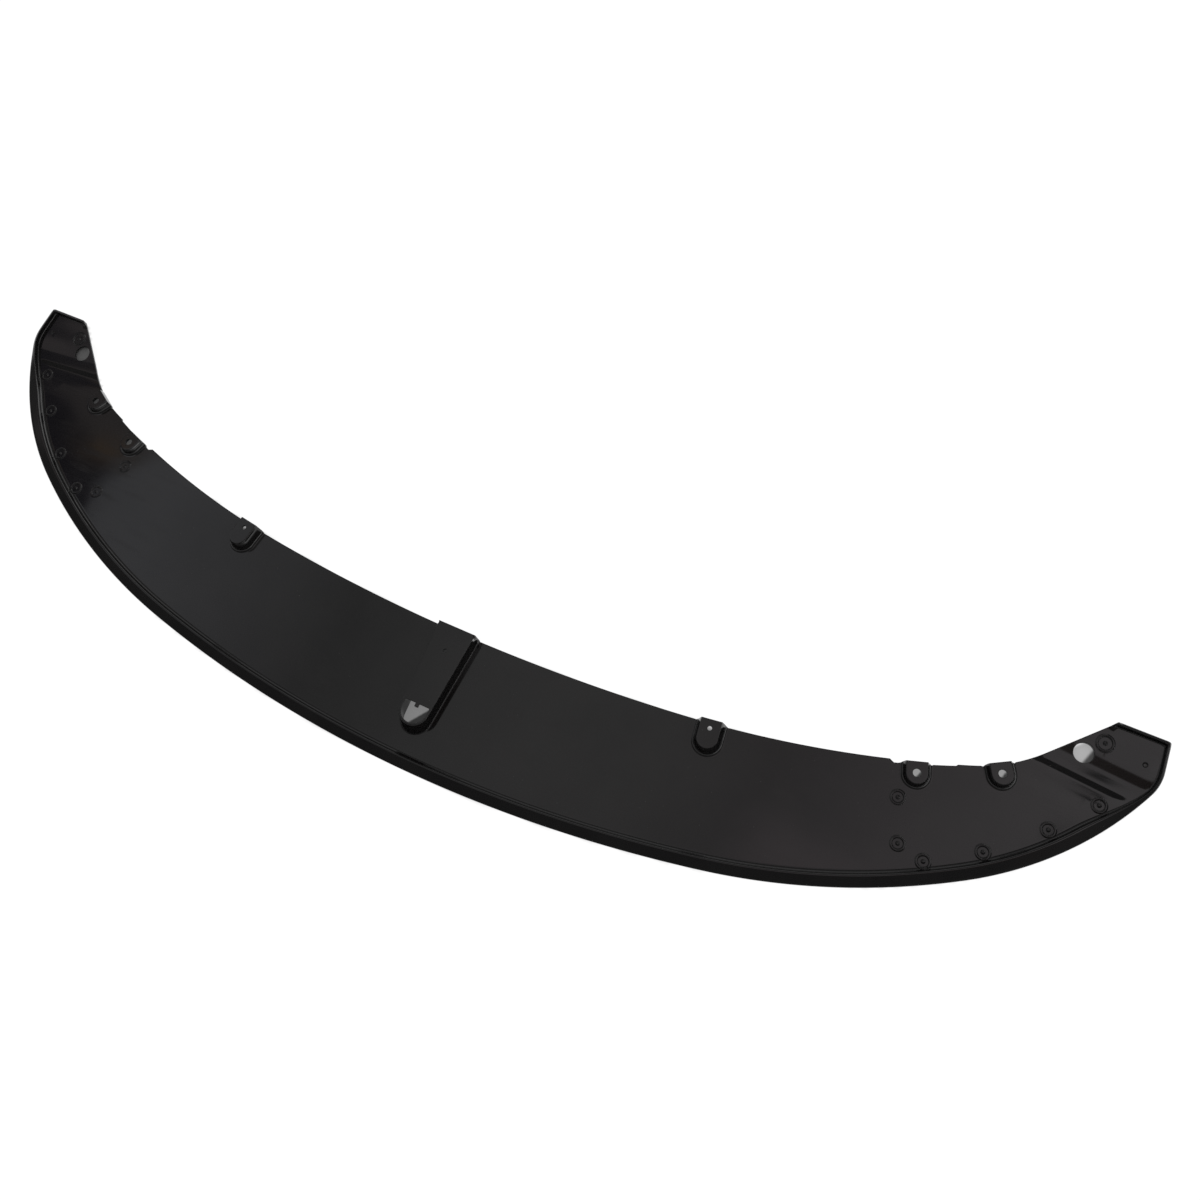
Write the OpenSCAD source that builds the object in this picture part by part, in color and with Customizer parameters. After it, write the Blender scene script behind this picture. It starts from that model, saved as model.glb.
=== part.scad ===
// Front splitter lip: one thin moulded crescent that lies flat under a bumper.
// The convex edge faces forward (-Y) and carries a raised rim, the concave edge faces
// back (+Y), X runs across and Z is up. The flat underside is at z = 0, and the origin
// is in the middle of the outline.

/* [Outline] */
// Width between the outermost points of the front edge
span = 1718; // [1600:1:1800]
// Depth from the line of the two tips to the middle of the front edge
reach = 408; // [370:1:450]
// Depth from the line of the two tips to the middle of the rear edge
rear_depth = 215; // [190:1:240]
// Angle to which the front edge has turned at the end of its middle arc
front_middle_turn = 12.3; // [10:0.1:14]
// Angle to which the front edge has turned at the end of its shoulder arc
front_shoulder_turn = 32.7; // [30:0.1:36]
// Radius of the front edge at the corners
front_corner_r = 443; // [400:1:480]
// Angle to which the front edge has turned at the end of the corner radius
front_corner_end = 64; // [60:1:68]
// Radius of the nose, where the front edge turns back to the tip
nose_r = 59; // [40:1:80]
// Distance from the line of the two tips to the centre of the nose
nose_at = 42; // [34:1:60]
// Angle at which the front edge leaves the nose
nose_end = 95.6; // [92:0.1:98]
// Angle to which the rear edge has turned at the end of its middle arc
rear_middle_turn = 6.4; // [5.5:0.1:7.5]
// Angle to which the rear edge has turned at the end of its shoulder arc
rear_shoulder_turn = 20.8; // [18:0.1:24]
// Radius of the rear edge where it turns to the tips
rear_corner_r = 196; // [150:1:230]
// Length of each tip's end edge
tip_w = 61; // [40:1:80]
// How far the tip's outer corner is drawn in from the outermost point
tip_draw_in = 4; // [2:0.5:8]
// Angle of the straight stretch of the rear edge at the tips
tip_angle = 46.4; // [42:0.1:52]
// Length of the straight stretch of the rear edge at the tips
tip_straight = 92; // [70:1:120]

/* [Plate and rim] */
// Wall of the plate
plate_t = 3.5; // [2.5:0.1:5]
// Width of the raised rim along the front edge
rim_w = 17; // [12:0.5:24]
// Height of the rim's ridge above the plate
rim_rise = 7.8; // [4:0.1:14]
// Width of the rim at the tips, where it is an upstand
tip_rim_w = 4.5; // [3:0.1:8]
// Length along the front edge over which the rim narrows
rim_taper_l = 110; // [60:5:200]
// Distance from the tip, along the front edge, at which the rim has narrowed
rim_taper_end = 55; // [40:1:90]

/* [Turned-up ends] */
// Distance from the tip to the bend, along the front edge
bend_front = 88; // [70:1:120]
// Distance from the tip to the bend, along the rear edge
bend_rear = 103; // [80:1:130]
// Angle by which each end turns up
bend_angle = 6; // [2:0.5:12]
// Length over which the bend is spread
bend_l = 30; // [10:1:50]

/* [Screw pads] */
// Wall of every hollow pad and of the bracket
pad_wall = 3; // [2:0.1:4]
// Draft of the low pads, foot to top, on each side
low_pad_draft = 3; // [1:0.1:5]
// Draft of the tall pads, which spread more at their feet
tall_pad_draft = 5; // [2:0.1:7]
// Fillet where a pad meets the plate
pad_fillet = 2.5; // [1:0.1:4]
// Rounding of the pads' top edge
pad_edge = 0.8; // [0.4:0.1:1.5]
// How far the pads stand out past the rear edge
pad_proud = 1.5; // [0.6:0.1:3]
// Height of the two tall pads above the plate
tall_pad_h = 17; // [10:0.5:24]
// Width of a tall pad at its top
tall_pad_w = 27; // [22:0.5:34]
// Length of a tall pad, front to back
tall_pad_l = 36; // [30:0.5:46]
// Distance from the middle to a tall pad, along the rear edge
tall_pad_at = 355; // [280:1:440]
// Screw hole of a tall pad
tall_hole_d = 6; // [4:0.1:8]
// Distance from the rear edge to a tall pad's screw hole
tall_hole_back = 10; // [9:0.5:14]
// Height of the low pads above the plate
low_pad_h = 10; // [7:0.5:16]
// Width of a low pad at its top
low_pad_w = 26; // [22:0.5:34]
// Length of a low pad, front to back
low_pad_l = 26; // [24:0.5:34]
// Distances from the tip to the low pads, along the rear edge
inner_pad_at = 244; // [236:1:252]
outer_pad_at = 148; // [140:1:170]
// Screw hole of a low pad
low_hole_d = 10; // [5:0.1:12]
// Distance from the rear edge to a low pad's screw hole
low_hole_back = 12.5; // [10:0.5:14]
// Depth of the shallow relief in the rear edge round the inner low pads, at its inner end
relief = 4.5; // [2:0.5:8]
// Depth of that relief at its outer end
relief_end = 1.5; // [0.5:0.5:3]
// Length of that relief along the rear edge
relief_l = 80; // [60:1:88]
// Distance from the tip to the middle of that relief
relief_at = 235; // [230:1:240]

/* [Middle bracket] */
// Height of the bracket above the plate
bracket_h = 22; // [14:0.5:30]
// Width of the bracket at the rear edge
bracket_rear_w = 55; // [46:1:72]
// Width of the bracket at its round front
bracket_front_w = 42; // [34:1:46]
// Distance from the front edge to the bracket's round front, at its top
bracket_to_front = 53.5; // [45:0.5:80]
// How far that front slopes forward from its top to its foot
bracket_slope = 7; // [2:0.5:12]
// Draft of the bracket's sides
bracket_draft = 0.5; // [0.2:0.1:2]
// Fillet where the bracket meets the plate
bracket_fillet = 1; // [0.5:0.1:3]
// Length of the opening through the bracket's front
window_l = 26.5; // [18:0.5:36]
// Width of the lip of skin left round that opening
window_lip = 3; // [2:0.1:6]
// Width of the catch that stands into the opening
catch_w = 5; // [3:0.5:8]
// Length of that catch
catch_l = 5; // [2:0.5:7]
// Screw hole through the bracket's skin
bracket_hole_d = 5; // [3:0.1:8]
// Distance from the rear edge to that screw hole
bracket_hole_back = 33; // [20:1:60]

/* [Ring bosses] */
// Outer diameter of a ring boss
ring_d = 19; // [14:0.5:24]
// Outer diameter of the larger ring boss near each tip
tip_ring_d = 22; // [16:0.5:25]
// Width of the raised ring
ring_w = 3; // [1.5:0.1:4]
// Height of the raised ring above the plate
ring_h = 0.9; // [0.4:0.1:2]
// Diameter of the pip in the middle of a ring
pip_d = 5; // [3:0.1:7]
// Height of the pip above the plate
pip_h = 1.6; // [0.6:0.1:3]

// Diameter of the shallow round dimple near each tip's outer corner
dimple_d = 6; // [4:0.5:10]
// Depth of that dimple
dimple_depth = 0.8; // [0.3:0.1:1.5]

/* [Locating holes] */
// Large hole in each turned-up end
locating_d = 24; // [14:0.5:26]
// Distance from the tip to that hole, along the rear edge
locating_at = 51; // [44:1:62]
// Distance from the rear edge to that hole's centre
locating_back = 16.5; // [15:0.5:24]

/* [Hidden] */
$fn = 48;
half_span = span / 2;
tip_out = half_span - tip_draw_in;
tip_in = tip_out - tip_w;
bracket_l = reach - rear_depth - bracket_to_front;
// A cut runs this far past the surface it opens, and a boss starts this far inside it
past = 1;
inside = 0.5;
gloss_black = [0.07, 0.07, 0.08];
// Profile of the rim, from its foot on the plate to the outer edge: distance from the
// outer edge as a share of the rim's width, and height as a share of its rise
rim = [[1.24, 0], [1.12, 0.05], [1.035, 0.19], [0.965, 0.58], [0.905, 0.91],
       [0.82, 1], [0.70, 0.985], [0.12, 0.78], [0.035, 0.73], [0, 0.64]];
rim_last = len(rim) - 1;
// Last point of that profile that the hollow underside of the rim follows, and how far the
// underside is cut up at the outer edge, as a share of the plate's wall
rim_under_last = 7;
edge_cut = 0.35;
// Sections along half of the lip, from the middle to the bend and on to the tip
main_steps = 48;
end_steps = 8;
// Ring bosses in front of the low pads: distance from the tip along the front edge,
// and distance in from that edge
RINGS = [[371, 104], [380, 50], [353, 27], [280, 28], [194, 29], [123, 25.5]];
// The larger ring boss: the same two distances from the rear edge
tip_ring_at = 24;
tip_ring_back = 16;
// The dimple: the same two distances from the front edge
dimple_at = 33;
dimple_back = 21;
// Steps along the relief, along a quarter of a pad's round front, and up its fillet and
// its rounded edge
relief_steps = 8;
arc_steps = 6;
fillet_steps = 3;
edge_steps = 2;

// Half an edge: smooth arcs from the middle outwards, then a straight to the tip. The edge
// turns to the angles turns = [end of the middle arc, of the shoulder arc, of the corner
// arc], and the radii of the first two arcs follow from where the edge starts and from
// corner_p, the end of its corner arc. Any arcs in more come next, up to straight_p.
// Gives [arcs, start of the straight, its heading, lengths of all the stretches].
function edge(apex_y, turns, corner_r, corner_p, more, straight_p, tip_x) =
    let (a1 = turns[0], a2 = turns[1], a3 = turns[2],
         reached = corner_p - [0, apex_y] - corner_r * [sin(a3) - sin(a2), cos(a2) - cos(a3)],
         m = [sin(a1), 1 - cos(a1)],
         n = [sin(a2) - sin(a1), cos(a1) - cos(a2)],
         det = m[0] * n[1] - m[1] * n[0],
         middle_r = (reached[0] * n[1] - reached[1] * n[0]) / det,
         shoulder_r = (reached[1] * m[0] - reached[0] * m[1]) / det,
         c0 = [0, apex_y + middle_r],
         c1 = c0 + (middle_r - shoulder_r) * [sin(a1), -cos(a1)],
         c2 = c1 + (shoulder_r - corner_r) * [sin(a2), -cos(a2)],
         arcs = concat([[c0, middle_r, 0, a1], [c1, shoulder_r, a1, a2], [c2, corner_r, a2, a3]],
                       more),
         run = [tip_x, 0] - straight_p)
    [arcs, straight_p, atan2(run[1], run[0]),
     concat([for (a = arcs) (a[3] - a[2]) * PI / 180 * a[1]], [norm(run)])];

// Point at a heading on a circle
function on_circle(c, r, a) = c + r * [sin(a), -cos(a)];

nose_c = [half_span - nose_r, -nose_at];
front_edge = edge(-reach, [front_middle_turn, front_shoulder_turn, front_corner_end],
                  front_corner_r, on_circle(nose_c, nose_r, front_corner_end),
                  [[nose_c, nose_r, front_corner_end, nose_end]],
                  on_circle(nose_c, nose_r, nose_end), tip_out);
rear_corner_p = [tip_in - tip_straight * cos(tip_angle), -tip_straight * sin(tip_angle)];
rear_edge = edge(-rear_depth, [rear_middle_turn, rear_shoulder_turn, tip_angle],
                 rear_corner_r, rear_corner_p, [], rear_corner_p, tip_in);

function total(v, i = 0) = i < len(v) ? v[i] + total(v, i + 1) : 0;
front_l = total(front_edge[3]);
rear_l = total(rear_edge[3]);

// Point and heading at a distance s along an edge, moved aside towards the arcs' centres
function along(e, s, aside = 0, i = 0) =
    i == len(e[0]) ? straight_point(e, s, aside)
    : s > e[3][i] ? along(e, s - e[3][i], aside, i + 1)
    : arc_point(e[0][i], s, aside);
function arc_point(arc, s, aside) =
    let (a = arc[2] + s / arc[1] * 180 / PI, p = arc[0] + (arc[1] - aside) * [sin(a), -cos(a)])
    [p[0], p[1], a];
function straight_point(e, s, aside) =
    let (a = e[2], p = e[1] + s * [cos(a), sin(a)] + aside * [-sin(a), cos(a)])
    [p[0], p[1], a];

// Run of the turned-up end from the bend to the tip, and how far it has risen on the way
bend_run = -(along(front_edge, front_l - bend_front)[1]
             + along(rear_edge, rear_l - bend_rear)[1]) / 2;
function lift(d) = d <= 0 ? 0
    : d < bend_l ? tan(bend_angle) * d * d / (2 * bend_l)
    : tan(bend_angle) * (d - bend_l / 2);

// Share of the full rim at a distance from the tip, along the front edge
function fullness(from_tip) =
    let (t = max(0, min(1, (from_tip - rim_taper_end) / rim_taper_l)))
    t * t * (3 - 2 * t);

// Closed section of the lip between a point of the front edge and one of the rear edge,
// at a distance d past the bend; k is the rim profile's point that the tip has reached
function section(side, front_s, rear_s, d, k) =
    let (f = along(front_edge, front_s), r = along(rear_edge, rear_s),
         to_rear = [r[0] - f[0], r[1] - f[1]], u = to_rear / norm(to_rear),
         square = u * [-sin(f[2]), cos(f[2])], full = fullness(front_l - front_s),
         w = (tip_rim_w + (rim_w - tip_rim_w) * full) / square,
         inner = (rim_w - plate_t) / rim_w, up = lift(d),
         at = function (in, z) [side * (f[0] + u[0] * in), f[1] + u[1] * in, z + up])
    concat([at(0, full * rim_rise * rim[rim_under_last][1] + edge_cut * plate_t)],
           [for (i = [rim_under_last:-1:0])
               at(rim[i][0] * w * inner, full * rim[i][1] * rim_rise)],
           [[side * r[0], r[1], up]],
           [[side * r[0], r[1], up + plate_t + rim[k][1] * rim_rise]],
           [for (i = [0:rim_last]) at(rim[i][0] * w, plate_t + rim[max(i, k)][1] * rim_rise)]);

function main_section(side, t) =
    section(side, t * (front_l - bend_front), t * (rear_l - bend_rear), 0, 0);
function end_section(side, t, k) =
    section(side, front_l - bend_front * (1 - t), rear_l - bend_rear * (1 - t), t * bend_run, k);

// Sections of one half in order, from the middle outwards
function half_sections(side) =
    let (rim_share = tip_rim_w / bend_run)
    concat([for (i = [1:main_steps]) main_section(side, i / main_steps)],
           [for (i = [1:end_steps - 1])
               end_section(side, i / end_steps * (1 - rim[0][0] * rim_share), 0)],
           [for (k = [0:rim_last]) end_section(side, 1 - rim[k][0] * rim_share, k)]);
function reversed(v) = [for (i = [len(v) - 1:-1:0]) v[i]];

// Solid through a stack of closed rings that have the same number of points. Each end is
// closed by a ladder of triangles between the two sides of its ring.
module skin(rings) {
    n = len(rings[0]);
    m = len(rings);
    rungs = floor((n - 3) / 2);
    sides = [for (j = [0:m - 2]) for (i = [0:n - 1])
        let (a = j * n + i, b = j * n + (i + 1) % n)
        each [[a, a + n, b + n], [a, b + n, b]]];
    ladder = [for (i = [0:rungs])
        each concat([[i, i + 1, n - 1 - i]],
                    i + 1 < n - 2 - i ? [[i + 1, n - 2 - i, n - 1 - i]] : [])];
    far_end = [for (t = ladder) [for (i = reversed(t)) (m - 1) * n + i]];
    polyhedron([for (r = rings) each r], concat(sides, ladder, far_end), convexity = 10);
}

// Plate and rim as one skin from tip to tip
module blade() {
    skin(concat(reversed(half_sections(-1)), [main_section(1, 0)], half_sections(1)));
}

// Outline of a pad seen from above, its back at y = back and its round front at -l,
// grown by g on the sides and the front, with the front moved on by forward
function pad_outline(rear_w, front_w, l, back, g, forward = 0) =
    let (r = front_w / 2 + g, y = r - l - g - forward)
    concat([[-rear_w / 2 - g, back]],
           [for (i = [0:2 * arc_steps]) let (a = 180 + 90 * i / arc_steps)
               [r * cos(a), y + r * sin(a)]],
           [[rear_w / 2 + g, back]]);
function raised(outline, z) = [for (p = outline) [p[0], p[1], z]];

// Solid pad with drafted walls, a front that may slope forward, a fillet at its foot and a
// rounded top edge. Each level is a height above the plate and how far the outline is grown
// there. The fillet's lowest slope runs on into the plate, and from there the pad goes
// straight down to the underside, which carries its back past the rear edge.
module pad_body(rear_w, front_w, l, h, draft, fillet_r, slope) {
    wall = function (z) draft * (1 - z / h);
    fillet = [for (i = [1:fillet_steps])
        let (a = 90 * i / fillet_steps, z = fillet_r * (1 - cos(a)))
            [z, wall(z) + fillet_r * (1 - sin(a))]];
    foot = draft + fillet_r;
    spread = foot + inside * (foot - fillet[0][1]) / fillet[0][0];
    edge = [for (i = [1:edge_steps])
        let (a = 90 * i / edge_steps)
            [h - pad_edge * (1 - sin(a)), -pad_edge * (1 - cos(a))]];
    levels = concat([[-plate_t, spread], [-inside, spread]], fillet,
                    [[h - pad_edge, wall(h - pad_edge)]], edge);
    skin([for (v = levels)
        raised(pad_outline(rear_w, front_w, l, pad_proud, v[1],
                           slope * (1 - max(0, v[0]) / h)), plate_t + v[0])]);
}

// Pocket that makes a pad hollow from below
module pad_pocket(rear_w, front_w, l, h, draft, slope) {
    roof = plate_t + h - pad_wall;
    back = pad_proud - pad_wall;
    skin([raised(pad_outline(rear_w, front_w, l, back, draft - pad_wall, slope), -past),
          raised(pad_outline(rear_w, front_w, l, back, -pad_wall), roof)]);
}

// Hole down through a pad's skin, drilled at a distance from the rear edge
module pad_hole(d, hole_back, h) {
    translate([0, -hole_back, plate_t + h - pad_wall - past])
        cylinder(d = d, h = pad_wall + 2 * past);
}

// Children at a distance from the tip along the rear edge, y pointing back across it
module on_rear(s, aside = 0) {
    p = along(rear_edge, s, aside);
    translate([p[0], p[1], 0]) rotate([0, 0, p[2]]) children();
}

module both_sides() {
    children();
    mirror([1, 0, 0]) children();
}

// Depth of the relief in the rear edge at a distance from the tip
function relief_depth(from_tip) =
    relief_end + (relief - relief_end) * (from_tip - relief_at + relief_l / 2) / relief_l;

// Sizes of each kind of pad: rear width, front width, length, height, draft, fillet, slope
low_pad = [low_pad_w, low_pad_w, low_pad_l, low_pad_h, low_pad_draft, pad_fillet, 0];
tall_pad = [tall_pad_w, tall_pad_w, tall_pad_l, tall_pad_h, tall_pad_draft, pad_fillet, 0];
bracket = [bracket_rear_w, bracket_front_w, bracket_l, bracket_h, bracket_draft,
           bracket_fillet, bracket_slope];

// Children at every pad of one side, with its sizes in $pad, and in $hole its hole's
// diameter and distance from the rear edge
module at_pads() {
    low_hole = [low_hole_d, low_hole_back];
    on_rear(tall_pad_at) {
        $pad = tall_pad;
        $hole = [tall_hole_d, tall_hole_back];
        children();
    }
    on_rear(rear_l - inner_pad_at, -relief_depth(inner_pad_at)) {
        $pad = low_pad;
        $hole = low_hole;
        children();
    }
    on_rear(rear_l - outer_pad_at) {
        $pad = low_pad;
        $hole = low_hole;
        children();
    }
}

module body_of(v) {
    pad_body(v[0], v[1], v[2], v[3], v[4], v[5], v[6]);
}

module hollow_of(v, hole) {
    pad_pocket(v[0], v[1], v[2], v[3], v[4], v[6]);
    pad_hole(hole[0], hole[1], v[3]);
}

// Shallow relief cut into the rear edge round the inner low pad
module edge_relief() {
    line = function (cut) [for (i = [0:relief_steps])
        let (from_tip = relief_at + relief_l * (0.5 - i / relief_steps),
             p = along(rear_edge, rear_l - from_tip, cut ? -relief_depth(from_tip) : past))
            [p[0], p[1]]];
    translate([0, 0, -past])
        linear_extrude(plate_t + 2 * past)
            polygon(concat(line(false), reversed(line(true))));
}

// Opening through the front of the bracket, with a catch standing into it
module window() {
    back = -(bracket_l - window_lip - window_l);
    translate([0, 0, plate_t + bracket_h - pad_wall - past])
        linear_extrude(pad_wall + 2 * past)
            difference() {
                polygon(pad_outline(bracket_front_w, bracket_front_w, bracket_l, back, -window_lip));
                translate([-catch_w / 2, back - catch_l]) square([catch_w, catch_l + past]);
            }
}

// Low raised ring with a pip in its middle
module ring_boss(d) {
    r = d / 2;
    bevel = ring_h / 2;
    rotate_extrude()
        polygon([[r - ring_w, -inside], [r, -inside], [r, ring_h - bevel], [r - bevel, ring_h],
                 [r - ring_w + bevel, ring_h], [r - ring_w, ring_h - bevel]]);
    rotate_extrude()
        polygon([[0, -inside], [pip_d / 2, -inside], [pip_d / 2, pip_h / 2],
                 [pip_d / 4, pip_h], [0, pip_h]]);
}

// Ring bosses of one side
module ring_bosses() {
    for (q = RINGS) {
        p = along(front_edge, front_l - q[0], q[1]);
        translate([p[0], p[1], plate_t]) ring_boss(ring_d);
    }
    p = along(rear_edge, rear_l - tip_ring_at, -tip_ring_back);
    translate([p[0], p[1], plate_t + lift(bend_run + p[1])])
        rotate([bend_angle, 0, 0]) ring_boss(tip_ring_d);
}

// Shallow round dimple near the tip's outer corner
module dimple() {
    p = along(front_edge, front_l - dimple_at, dimple_back);
    translate([p[0], p[1], plate_t + lift(bend_run + p[1])])
        rotate([bend_angle, 0, 0])
            translate([0, 0, -dimple_depth]) cylinder(d = dimple_d, h = dimple_depth + past);
}

module locating_hole() {
    p = along(rear_edge, rear_l - locating_at, -locating_back);
    translate([p[0], p[1], -past])
        cylinder(d = locating_d, h = plate_t + lift(bend_run) + 2 * past);
}

module splitter_lip() {
    color(gloss_black)
        translate([0, reach / 2, 0])
            difference() {
                union() {
                    blade();
                    both_sides() at_pads() body_of($pad);
                    on_rear(0) body_of(bracket);
                    both_sides() ring_bosses();
                }
                both_sides() edge_relief();
                both_sides() at_pads() hollow_of($pad, $hole);
                on_rear(0) {
                    hollow_of(bracket, [bracket_hole_d, bracket_hole_back]);
                    window();
                }
                both_sides() dimple();
                both_sides() locating_hole();
            }
}

splitter_lip();
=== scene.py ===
"""Front splitter lip: a fine mesh of the one moulding, its gloss black finish and a plain studio.

The moulding is symmetric: its outline and the lines that its mesh follows are worked out for
the right half and mirrored. Its upper and lower sides are two height fields over the same
outline, joined by walls round the outline and the holes. Lengths are in millimetres in the
row frame until the mesh is made.
"""

import math
from itertools import accumulate

import bpy
import numpy as np
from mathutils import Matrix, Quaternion, Vector
from mathutils.geometry import delaunay_2d_cdt


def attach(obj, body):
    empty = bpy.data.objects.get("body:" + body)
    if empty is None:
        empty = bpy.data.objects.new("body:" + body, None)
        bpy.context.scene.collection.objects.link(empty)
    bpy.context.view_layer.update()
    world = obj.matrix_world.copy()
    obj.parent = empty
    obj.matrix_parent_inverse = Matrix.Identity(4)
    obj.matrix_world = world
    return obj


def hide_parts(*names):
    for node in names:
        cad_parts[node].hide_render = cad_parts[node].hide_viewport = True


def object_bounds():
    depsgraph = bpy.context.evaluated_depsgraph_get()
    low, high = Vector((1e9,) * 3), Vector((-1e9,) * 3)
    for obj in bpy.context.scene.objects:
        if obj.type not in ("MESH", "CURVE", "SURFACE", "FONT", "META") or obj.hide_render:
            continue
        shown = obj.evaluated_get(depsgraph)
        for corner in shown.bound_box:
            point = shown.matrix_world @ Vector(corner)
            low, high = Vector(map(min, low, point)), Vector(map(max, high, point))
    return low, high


MM = 0.001

# Outline
SPAN = 1718.0
REACH = 408.0
REAR_DEPTH = 215.0
FRONT_TURNS = (12.3, 32.7, 64.0)
FRONT_CORNER_R = 443.0
NOSE_R = 59.0
NOSE_AT = 42.0
NOSE_END = math.radians(95.6)
REAR_TURNS = (6.4, 20.8, 46.4)
REAR_CORNER_R = 196.0
TIP_W = 61.0
TIP_DRAW_IN = 4.0
TIP_STRAIGHT = 92.0
TIP_Y = REACH / 2
TIP_OUT = SPAN / 2 - TIP_DRAW_IN
TIP_IN = TIP_OUT - TIP_W
OUTER_CORNER_R = 3.0
INNER_CORNER_R = 2.0

# Plate, rim and turned-up ends
PLATE_T = 3.5
RIM_W = 17.0
RIM_RISE = 7.8
TIP_RIM_W = 4.5
RIM_TAPER_L = 110.0
RIM_TAPER_END = 55.0
BEND_FRONT = 88.0
BEND_REAR = 103.0
BEND_SLOPE = math.tan(math.radians(6.0))
BEND_L = 30.0
EDGE_R = 0.8
UNDER_R = 0.5
HOLE_R = 0.4
RIM_EDGE_R = 1.2

# Low waves at the bends: heights, places past the line where the end starts, and lengths
CREASE_H = 0.55
CREASE_AT = -4.5
CREASE_RISE = 18.0
CREASE_FALL = 9.0
SWELL_H = 0.30
SWELL_RISE_AT, SWELL_RISE = 17.0, 15.0
SWELL_FALL_AT, SWELL_FALL = 31.0, 34.0
WAVES_FADE = 1.5

# Profile of the rim: distance from the outer edge as a share of its width, and height as a
# share of its rise. The hollow below follows it from the fourth point inwards.
RIM = ((0.0, 0.60), (0.012, 0.665), (0.035, 0.715), (0.12, 0.78), (0.40, 0.875), (0.70, 0.975),
       (0.77, 0.998), (0.82, 0.995), (0.865, 0.965), (0.905, 0.88), (0.935, 0.75), (0.965, 0.56),
       (1.0, 0.33), (1.035, 0.18), (1.075, 0.09), (1.12, 0.04), (1.18, 0.01), (1.24, 0.0))
RIM_UNDER = ((0.0, 0.78),) + RIM[3:]
RIM_INNER = (RIM_W - PLATE_T) / RIM_W

# Pads and the middle bracket
PAD_WALL = 3.0
PAD_FILLET = 2.5
PAD_PROUD = 1.5
POCKET_R = 1.2
BACK_DRAFT = 0.13
TALL_W = 27.0
TALL_L = 36.0
TALL_H = 17.0
TALL_DRAFT = 5.0
TALL_AT = 355.0
TALL_HOLE_D = 6.0
TALL_HOLE_BACK = 10.0
LOW_W = 26.0
LOW_L = 26.0
LOW_H = 10.0
LOW_DRAFT = 3.0
LOW_HOLE_D = 10.0
LOW_HOLE_BACK = 12.5
INNER_LOW_AT = 244.0
OUTER_LOW_AT = 148.0
RELIEF = 4.5
RELIEF_END = 1.5
RELIEF_L = 80.0
RELIEF_AT = 235.0
RELIEF_RAMP = 2.5
BRACKET_REAR_W = 55.0
BRACKET_FRONT_W = 42.0
BRACKET_H = 22.0
BRACKET_L = REACH - REAR_DEPTH - 53.5
BRACKET_DRAFT = 0.5
BRACKET_FILLET = 1.0
BRACKET_SLOPE = 7.0
BRACKET_HOLE_D = 5.0
BRACKET_HOLE_BACK = 33.0
WINDOW_L = 26.5
WINDOW_LIP = 3.0
WINDOW_CORNER_R = 1.5
CATCH_W = 5.0
CATCH_L = 5.0
CATCH_ROOT_R = 0.3
CATCH_TIP_R = 0.6

# The outline beside a pad: growth of the pad as a share of its foot, and place across the edge
PAD_SIDE = ((1.0, 0.0), (0.85, 0.3), (0.7, 0.85), (0.58, 1.25), (0.45, PAD_PROUD), (0.3, PAD_PROUD),
            (0.15, PAD_PROUD), (0.0, PAD_PROUD))
PAD_BACK_NEAR = (0.4, 0.9)
PAD_BACK_INSET = 4.0
PAD_BACK_POINTS = 8

# Extra rings of points round a pad: past its foot, inside its top and near each curve
PAD_FOOT_RING = 1.2
PAD_TOP_RING = 1.0
PAD_NEAR = 0.4

# The hollow's mouth and the round under its roof, as growth and height
POCKET_MOUTH = ((0.9, 0.0), (0.35, 0.0), (0.08, 0.12))
POCKET_ROUND = ((0.15, 0.4), (0.5, 0.12), (1, 0), (1.7, 0))

# Ring bosses: distance from the tip along the front edge and distance in from that edge
RINGS = ((371, 104), (380, 50), (353, 27), (280, 28), (194, 29), (123, 25.5))
RING_D = 19.0
RING_W = 3.0
RING_H = 0.9
RING_FOOT = 0.8
PIP_D = 5.0
PIP_H = 1.6
TIP_RING_AT = 24.0
TIP_RING_BACK = 16.0
TIP_RING_D = 22.0
DIMPLE_AT = 33.0
DIMPLE_BACK = 21.0
DIMPLE_D = 6.0
DIMPLE_DEPTH = 0.8
LOCATING_D = 24.0
LOCATING_AT = 51.0
LOCATING_BACK = 16.5

# Profiles of the ring, the pip and the dimple: distance past the radius and share of the height
RING_SHAPE = ((0.25, 0.0), (0.05, 0.12), (-0.1, 0.5), (-0.35, 0.82), (-0.8, 1.0))
PIP_SHAPE = ((0.6, 0.0), (0.12, 0.0), (-0.05, 0.2), (-0.25, 0.55), (-0.7, 0.86), (-1.3, 1.0), (-2.2, 1.0))
DIMPLE_SHAPE = ((0.6, 0.0), (0.2, 0.0), (0.0, 0.1), (-0.3, 0.6), (-0.7, 0.95), (-1.2, 1.0))

# Spacing of the mesh's points along the edges, over the plate and round the small forms
EDGE_STEP = 5.0
RELIEF_STEP = 0.5
PLATE_STEP = 12.0
NET_ROW = 0.87
NET_CLEAR = 0.55
FINE_STEP = 1.6
ROUND_POINTS = 7
LEAST_ARC = 10
LEAST_CIRCLE = 12
TIP_POINTS = 14
WINDOW_POINTS = 33
BEND_POINTS = 24
QUARTER = np.linspace(0, math.pi / 2, ROUND_POINTS)

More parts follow.
